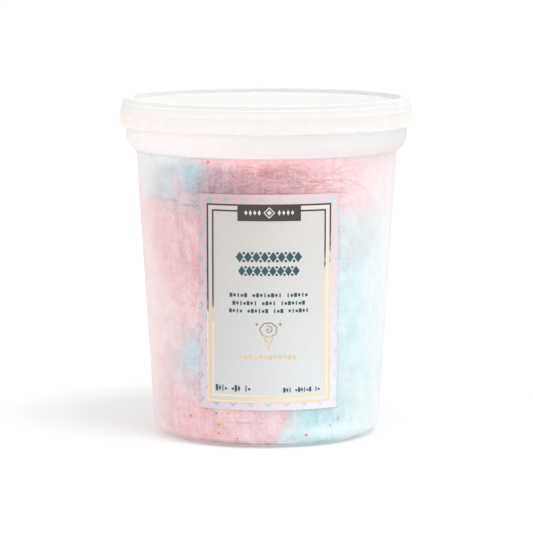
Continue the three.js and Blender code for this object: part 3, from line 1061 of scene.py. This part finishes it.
def paper_finish(name, corners, tooth_size, tooth_share, tooth_tint, rough, gloss, relief,
                 cloud=None, brushed=False):
    """Printed paper whose colour goes evenly from corner to corner, which is painted light, with a
    fine tooth that both tints and roughens it. Brushed, its tooth is drawn out upwards. Its colours
    are in 8 bits."""
    surface = Surface(name)
    colour = corner_mix(surface, *(srgb(*corner) for corner in corners))
    if cloud:
        colour = surface.mix(surface.tone(14.0, 0.0, 0.3), colour, srgb(*cloud))
    place = surface.vector("MULTIPLY", surface.place, (1.0, 1.0, 0.08)) if brushed else None
    tooth = surface.noise(tooth_size, place, detail=3.0 if brushed else 2.0)
    colour = surface.mix(surface.stretch(tooth, 0.0, tooth_share), colour, srgb(*tooth_tint))
    surface.set(Base_Color=colour, Roughness=rough, Specular_IOR_Level=gloss)
    surface.bump(tooth, *relief)
    return surface.material


def border_paper():
    """Satin paper with a pale pink border, slightly uneven, with painted light: paler to the right
    and towards its foot.
    """
    corners = ((195, 166, 171), (219, 203, 207), (208, 194, 201), (227, 226, 230))
    return paper_finish("label_paper", corners, 0.25, 0.06, (180, 160, 166), 0.5, 0.35,
                        (0.02, 0.3), cloud=(218, 196, 201))


def field_paper():
    """The silver-grey field, with painted light: paler to the right, darker and warmer at its top,
    paler and cooler at its foot from the floor's light.
    """
    corners = ((192, 187, 184), (209, 206, 203), (198, 199, 199), (215, 217, 219))
    return paper_finish("label_satin", corners, 0.5, 0.05, (150, 150, 152), 0.42, 0.4,
                        (0.01, 0.25), brushed=True)


def margin_paper():
    """The pale strip between the frame lines, with painted light: paler to the right."""
    corners = ((200, 187, 188), (220, 217, 214), (200, 196, 197), (224, 222, 218))
    return paper_finish("label_margin", corners, 0.3, 0.05, (170, 170, 172), 0.45, 0.5, (0.01, 0.3))


def foil_finish():
    """Foil with a painted reflection: dark above and pale gold below, by its place on the label."""
    surface = Surface("label_foil")
    tilt = surface.math("MULTIPLY", surface.axis("X"), 0.37)
    height = surface.math("SUBTRACT", surface.axis("Z"), tilt)
    inward = surface.math("SUBTRACT", FRAME_HALF, surface.math("ABSOLUTE", surface.axis("X")))
    lag = surface.math("MULTIPLY", surface.math("MINIMUM", inward, 3.0), 2.4)
    height = surface.math("ADD", height, lag)
    height = surface.math("ADD", height, surface.tone(2.0, -3.0, 3.0))
    gold = surface.mix(surface.remap(height, 66, 74), srgb(232, 208, 164), srgb(128, 98, 66))
    colour = surface.mix(surface.remap(height, 72, 79), gold, srgb(62, 54, 50))
    surface.set(Base_Color=colour, Roughness=0.38, Metallic=0.15)
    return surface.material


def gold_finish():
    """Gold foil of the emblem and the row under it, with a painted reflection that makes the
    emblem's top darker.
    """
    surface = Surface("label_gold")
    tone = surface.remap(surface.noise(1.6), 0.35, 0.65)
    gold = surface.mix(tone, srgb(204, 174, 118), srgb(228, 202, 152))
    height = surface.math("ADD", surface.axis("Z"), surface.remap(tone, 0.0, 1.0, -1.5, 1.5))
    # Painted reflection: darker towards the emblem's top.
    dark = surface.remap(height, 43.0, 49.0, 0.0, 0.8)
    surface.set(Base_Color=surface.mix(dark, gold, srgb(96, 78, 54)))
    surface.set(Roughness=0.35, Metallic=0.2)
    return surface.material


def ink_finish(name, tint, rough=0.6):
    return speckled(name, tint, other_share=1.3, size=0.8, most=0.25, rough=rough)


def sky_finish():
    """Sky blue ink, paler to the right, which is painted light."""
    surface = Surface("ink_sky")
    across = surface.remap(surface.axis("X"), -FRAME_HALF, FRAME_HALF)
    colour = surface.mix(across, srgb(104, 165, 184), srgb(164, 209, 218))
    tone = surface.tone(0.8, 0.0, 0.2)
    surface.set(Base_Color=surface.mix(tone, colour, srgb(214, 226, 232)), Roughness=0.55)
    return surface.material


def make_panel(name, half, bottom, top, low, high, material, slot):
    """A plain rectangle around the label's middle line."""
    panel = Print()
    panel.bar(-half, half, bottom, top)
    return panel.build(name, low, high, material)


def make_label_sheet(material):
    piece = make_panel("label_sheet", LABEL_WIDTH / 2, LABEL_BOTTOM_Z, LABEL_TOP_Z,
                       LABEL_GAP, LABEL_GAP + PAPER, material, "label_paper")
    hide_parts("label")


def make_border_diamonds(material, low, high):
    """Small open diamonds in a row along each side, cut by the frame and the label's edge, and
    small tips between them on the frame's upright lines."""
    border = Print()
    inner_scale = 1 - DIAMOND_LINE / DIAMOND_HALF_WIDTH

    def open_diamond(across, z, keep):
        outer = diamond(across, z, DIAMOND_HALF_WIDTH, DIAMOND_HALF_HEIGHT)
        inner = diamond(
            across, z, DIAMOND_HALF_WIDTH * inner_scale, DIAMOND_HALF_HEIGHT * inner_scale)
        if len(keep) == 4:
            border.loop(outer, inner)
            return
        run = [*keep, (keep[-1] + 1) % 4]
        border.grid([[outer[i] for i in run], [inner[i] for i in run]])
    count, start, step, z = TOP_DIAMONDS
    for i in range(count):
        open_diamond(start + step * i, z, (0, 1, 2, 3) if i in (0, count - 1) else (0, 1))
    count, start, step, z = BOTTOM_DIAMONDS
    for i in range(count):
        open_diamond(start + step * i, z, (2, 3))
    count, start, step = SIDE_DIAMONDS
    for i in range(count):
        open_diamond(-LABEL_WIDTH / 2 + SIDE_DIAMOND_INSET, start - step * i, (3, 0))
        open_diamond(LABEL_WIDTH / 2 - SIDE_DIAMOND_INSET, start - step * i, (1, 2))
    for i in range(count - 1):
        z = start - step * (i + 0.5)
        for side in (-1, 1):
            tip = (side * (FRAME_HALF + TIP_REACH), z)
            foot = [(side * FRAME_HALF, z + up) for up in (TIP_HALF_HEIGHT, -TIP_HALF_HEIGHT)]
            border.loop([tip, *foot] if side > 0 else [tip, *foot[::-1]])
    border.build("print_diamonds", low, high, material)


def make_emblem(material, low, high):
    """A small line drawing of a puff of floss on a paper cone, with two sparkles."""
    emblem = Print()
    turns = np.linspace(0, 2 * math.pi, 73)
    lobes = 3.0 + 0.42 * np.abs(np.sin(3.5 * turns + 0.4))
    curl = np.linspace(0.5, 2.6 * math.pi, 40)
    for turn, wide, tall, line in (
        (turns, lobes, 0.86 * lobes, EMBLEM_LINE),
        (curl, 0.22 * curl, 0.2 * curl, 0.32),
    ):
        across = EMBLEM_MIDDLE + wide * np.cos(turn)
        emblem.stroke(np.column_stack([across, PUFF_Z + tall * np.sin(turn)]), line)
    for side in (-1, 1):
        cone = np.linspace((EMBLEM_MIDDLE + side * 1.75, 45.6), (EMBLEM_MIDDLE, 40.9), 6)
        emblem.stroke(cone, EMBLEM_LINE)
        emblem.loop(star(EMBLEM_MIDDLE + side * 4.6, 50.6, 0.9, 0.28))
    wrap = np.linspace((EMBLEM_MIDDLE - 1.2, 44.1), (EMBLEM_MIDDLE + 0.75, 43.0), 4)
    emblem.stroke(wrap, 0.3)
    emblem.build("print_emblem", low, high, material)


def bead_row(ink, left, right, z, height, groups):
    """A row of small bars, dots and lozenges, in groups of the given counts."""
    gap = 1.2
    pitch = (right - left) / (sum(groups) + gap * (len(groups) - 1))
    across = left
    for group, count in enumerate(groups):
        for i in range(count):
            centre = across + pitch / 2
            kind = (i * 3 + group) % 4
            half = 0.41 * pitch
            if kind == 0:
                ink.bar(centre - half, centre + half, z - height / 2, z + height / 2)
            elif kind == 1:
                ink.loop(disc(centre, z - 0.08 * height, half, 10))
            elif kind == 2:
                ink.bar(centre - 0.45 * half, centre + 0.45 * half, z - height / 2, z + height / 2)
            else:
                ink.loop(diamond(centre, z, 1.1 * half, height / 2))
            across += pitch
        across += gap * pitch


def make_label_print(low):
    """All print, in layers that each lie a little further out."""
    ink = {
        "teal": ink_finish("ink_teal", srgb(38, 74, 82)),
        "charcoal": ink_finish("ink_charcoal", srgb(52, 48, 45), 0.45),
        "sky": sky_finish(),
        "pale": ink_finish("ink_pale", srgb(206, 198, 194)),
    }
    foil = foil_finish()
    gold = gold_finish()
    first = low + INK
    second = first + INK
    third = second + INK
    make_border_diamonds(ink["sky"], low, first)
    outer_frame = (FRAME_HALF, FRAME_BOTTOM_Z, FRAME_TOP_Z)
    inner_frame = (FRAME_HALF - FRAME_GAP, FRAME_BOTTOM_Z + FRAME_GAP, FRAME_TOP_Z - FRAME_GAP)
    make_panel("print_margin", *outer_frame, low, first, margin_paper(), "label_paper")
    make_panel("print_field", *inner_frame, first, second, field_paper(), "label_paper")
    lines = Print()
    lines.frame(*outer_frame, FRAME_LINE)
    lines.frame(*inner_frame, FRAME_LINE)
    lines.build("print_frame", second, third, foil)
    plate = (PLATE_HALF, PLATE_BOTTOM_Z, FRAME_TOP_Z)
    make_panel("print_plate", *plate, third, third + INK, ink["charcoal"], "label_foil")
    make_plate_ornament(ink["pale"], third + INK, third + 2 * INK)
    make_title(ink["teal"], second, third)
    make_emblem(gold, second, third)
    make_caption(gold, second, third)


def make_caption(material, low, high):
    """A row of open diamonds and rings under the emblem."""
    caption = Print()
    for i in range(CAPTION_BEADS):
        across = CAPTION_LEFT + CAPTION_WIDTH / (CAPTION_BEADS - 1) * i
        if i % 3 == 1:
            caption.loop(disc(across, CAPTION_Z, 0.75), disc(across, CAPTION_Z, 0.42))
        else:
            outer = diamond(across, CAPTION_Z, 0.75, 1.1)
            caption.loop(outer, diamond(across, CAPTION_Z, 0.38, 0.62))
    caption.build("print_caption", low, high, material)


def make_plate_ornament(material, low, high):
    """A double diamond between two rows of small ones, in pale ink on the dark plate."""
    ornament = Print()
    middle_z = (PLATE_BOTTOM_Z + FRAME_TOP_Z) / 2
    ornament.loop(diamond(0, middle_z, 2.3, 2.3), diamond(0, middle_z, 1.75, 1.75))
    ornament.loop(diamond(0, middle_z, 1.0, 1.0))
    for side in (-1, 1):
        for i in range(4):
            across = side * (3.9 + 1.75 * i)
            ornament.loop(diamond(across, middle_z, 0.62, 1.15 - 0.15 * (i % 2)))
    ornament.build("print_plate_ornament", low, high, material)


def lozenge_row(ink, middle, z, reach, height, count):
    """Tall solid lozenges side by side, with a dot above and below each gap."""
    pitch = reach / count
    for i in range(count):
        across = middle - reach / 2 + pitch * (i + 0.5)
        ink.loop(diamond(across, z, 0.48 * pitch, height / 2))
        if i:
            for side in (-1, 1):
                ink.loop(disc(across - pitch / 2, z + side * 0.36 * height, 0.17 * pitch, 12))


def make_title(material, low, high):
    """Two bold rows of lozenges, three fine rows of marks, and a short row in each lower corner."""
    title = Print()
    lozenge_row(title, -0.1, 77.5, 26.4, 4.3, 8)
    lozenge_row(title, -0.1, 71.95, 24.5, 4.1, 8)
    for z, left, right, groups in (
        (62.3, -15.9, 15.6, (5, 8, 6)),
        (59.1, -14.7, 14.4, (7, 4, 7)),
        (56.0, -16.1, 15.9, (4, 6, 3, 6)),
    ):
        bead_row(title, left, right, z, 1.6, groups)
    bead_row(title, -21.8, -7.2, 24.6, 2.6, (4, 3, 2))
    bead_row(title, 5.5, 20.9, 24.0, 1.9, (3, 6, 2))
    title.build("print_marks", low, high, material)


# ---- stage

CAMERA_DISTANCE = 1.2
CAMERA_HEIGHT = 0.218
CAMERA_PITCH = 7.15  # degrees down
CAMERA_LENS = 199.2
SKY = 0.8
FLOOR_SHADE = (0.615, 0.622, 0.622)
FLOOR_GLOW = 0.3
FLOOR_HALF = 15000
SUNS = {  # azimuth, elevation, spread, strength
    "key": (40, 66, 20, 0.3),
    "right": (70, 12, 60, 0.22),
    "left": (-65, 14, 60, 0.2),
    "front": (0, 4, 60, 0.31),
}


def make_camera():
    data = bpy.data.cameras.new("camera")
    data.lens = CAMERA_LENS
    data.sensor_width = 36
    camera = new_object("camera", data)
    camera.location = (0, -CAMERA_DISTANCE, CAMERA_HEIGHT)
    camera.rotation_euler = (math.radians(90 - CAMERA_PITCH), 0, 0)
    bpy.context.scene.camera = camera


def make_floor():
    """A wide pale table that glows a little."""
    corners = [(x * FLOOR_HALF, y * FLOOR_HALF, 0) for x, y in ((-1, -1), (1, -1), (1, 1), (-1, 1))]
    floor = plain_object("floor", corners, [(0, 1, 2, 3)])
    surface = Surface("floor")
    paler = scaled(FLOOR_SHADE, 1.01)
    surface.set(Base_Color=surface.mix(surface.tone(300.0), FLOOR_SHADE, paler))
    surface.set(Roughness=0.9, Specular_IOR_Level=0.0)
    surface.set(Emission_Color=(1, 1, 1), Emission_Strength=FLOOR_GLOW)
    floor.data.materials.append(surface.material)


def make_sun(name, azimuth, elevation, spread, strength):
    """A broad far lamp, spread degrees wide. Azimuth is in degrees from the front to the right."""
    data = bpy.data.lights.new(name, "SUN")
    data.angle = math.radians(spread)
    data.energy = strength * math.pi
    lamp = new_object(name, data)
    lamp.rotation_euler = (math.radians(90 - elevation), 0, math.radians(azimuth))


def make_world():
    """An even white studio."""
    world = bpy.data.worlds.new("studio")
    world.use_nodes = True
    background = world.node_tree.nodes["Background"]
    background.inputs["Color"].default_value = (1, 1, 1, 1)
    background.inputs["Strength"].default_value = SKY
    bpy.context.scene.world = world


def make_stage():
    make_camera()
    make_floor()
    for name, setting in SUNS.items():
        make_sun(name, *setting)
    make_world()
    bpy.context.scene.view_settings.view_transform = "Standard"


# ---- the whole

# How the plastic looks: opacity seen face on, by height; left and right tint, by height; share
# of the light that it passes on; how fast it clouds over where it is seen edge on; and how much
# its opacity varies in a fine grain.
TUB_LOOK = {
    "opacity": [
        (0.0, 0.03),
        (6.0, 0.14),
        (30.0, 0.18),
        (LEDGE_Z - 1.0, 0.18),
        # Painted highlight just under the ledge: an opaque, whiter line. Just above it is a clearer
        # line as painted shadow.
        (LEDGE_Z - 0.7, 0.92),
        (LEDGE_Z - 0.1, 0.92),
        (LEDGE_Z + 0.3, 0.75),
        (LEDGE_Z + 2.0, 0.85),
        (SHOULDER_Z, 0.88),
    ],
    # The tints are painted light. The pinkish haze stands in for the floss's light seen in the
    # wall. It is pinker on the left and darker on the right, against the stronger light from the
    # right, and whiter at the ledge for a painted highlight line.
    "tints": [
        (20.0, (0.97, 0.93, 0.925), (0.93, 0.92, 0.92)),
        (70.0, (0.98, 0.93, 0.92), (0.94, 0.92, 0.92)),
        (92.0, (0.95, 0.89, 0.88), (0.94, 0.91, 0.91)),
        (LEDGE_Z - 1.5, (0.98, 0.92, 0.91), (0.94, 0.9, 0.9)),
        (LEDGE_Z - 0.7, (1.0, 0.985, 0.98), (1.0, 0.97, 0.97)),
        (LEDGE_Z + 0.3, (1.0, 0.96, 0.96), (0.94, 0.87, 0.88)),
        (LEDGE_Z + 2.4, (1.0, 0.96, 0.96), (0.93, 0.87, 0.88)),
        (LEDGE_Z + 4.0, (1.0, 0.955, 0.95), (0.89, 0.89, 0.89)),
    ],
    "passed_on": [(LEDGE_Z - 1.0, 0.4), (LEDGE_Z, 0.25)],
    "edge_power": 2.0,
    "grain": 0.02,
    "roughness": 0.38,
}
LID_LOOK = {
    "opacity": [
        (RIM_Z - 4.0, 0.38),
        (RIM_Z - 3.0, 0.6),
        (LID_PANEL_Z - 0.15, 0.6),
        (LID_PANEL_Z - 0.05, 0.95),
        (LID_PANEL_Z + 0.05, 0.95),
        (LID_PANEL_Z + 0.1, 0.56),
        (LID_TOP_Z - 0.15, 0.56),
        (LID_TOP_Z - 0.05, 0.95),
    ],
    # The tints hold painted light. The skirt is warmer on the left, a painted reflection, and a
    # touch less red on the right, painted shade against the light from the right. The rim wall
    # between the panel and the top's edge is darker, painted shade, so it shines no brighter than
    # the panel.
    "tints": [
        (RIM_Z - 4.5, (1.0, 0.975, 0.955), (1.0, 0.985, 0.97)),
        (RIM_Z - 3.5, (0.985, 0.98, 0.96), (0.98, 0.975, 0.965)),
        (LID_PANEL_Z + 0.05, (0.965, 0.965, 0.95), (0.96, 0.96, 0.95)),
        (LID_PANEL_Z + 0.1, (0.925, 0.925, 0.915), (0.91, 0.91, 0.9)),
        (LID_TOP_Z - 0.15, (0.925, 0.925, 0.915), (0.91, 0.91, 0.9)),
        (LID_TOP_Z - 0.05, (0.965, 0.965, 0.95), (0.96, 0.96, 0.95)),
    ],
    "passed_on": [
        (LID_PANEL_Z - 0.15, 0.5),
        (LID_PANEL_Z - 0.05, 0.14),
        (LID_PANEL_Z + 0.05, 0.14),
        (LID_PANEL_Z + 0.1, 0.3),
        (LID_TOP_Z - 0.15, 0.3),
        (LID_TOP_Z - 0.05, 0.14),
    ],
    "edge_power": 1.0,
    "grain": 0.0,
    "roughness": 0.42,
}

make_stage()
make_tub(frosted_plastic("frosted_plastic", TUB_LOOK))
make_lid(frosted_plastic("lid_plastic", LID_LOOK))
make_floss(floss("floss"))
make_strands(floss("strand", (0.98, 0.93, 0.95)), floss("strand_deep", (0.92, 0.66, 0.72)))
make_grains()
make_label_sheet(border_paper())
make_label_print(LABEL_GAP + PAPER)
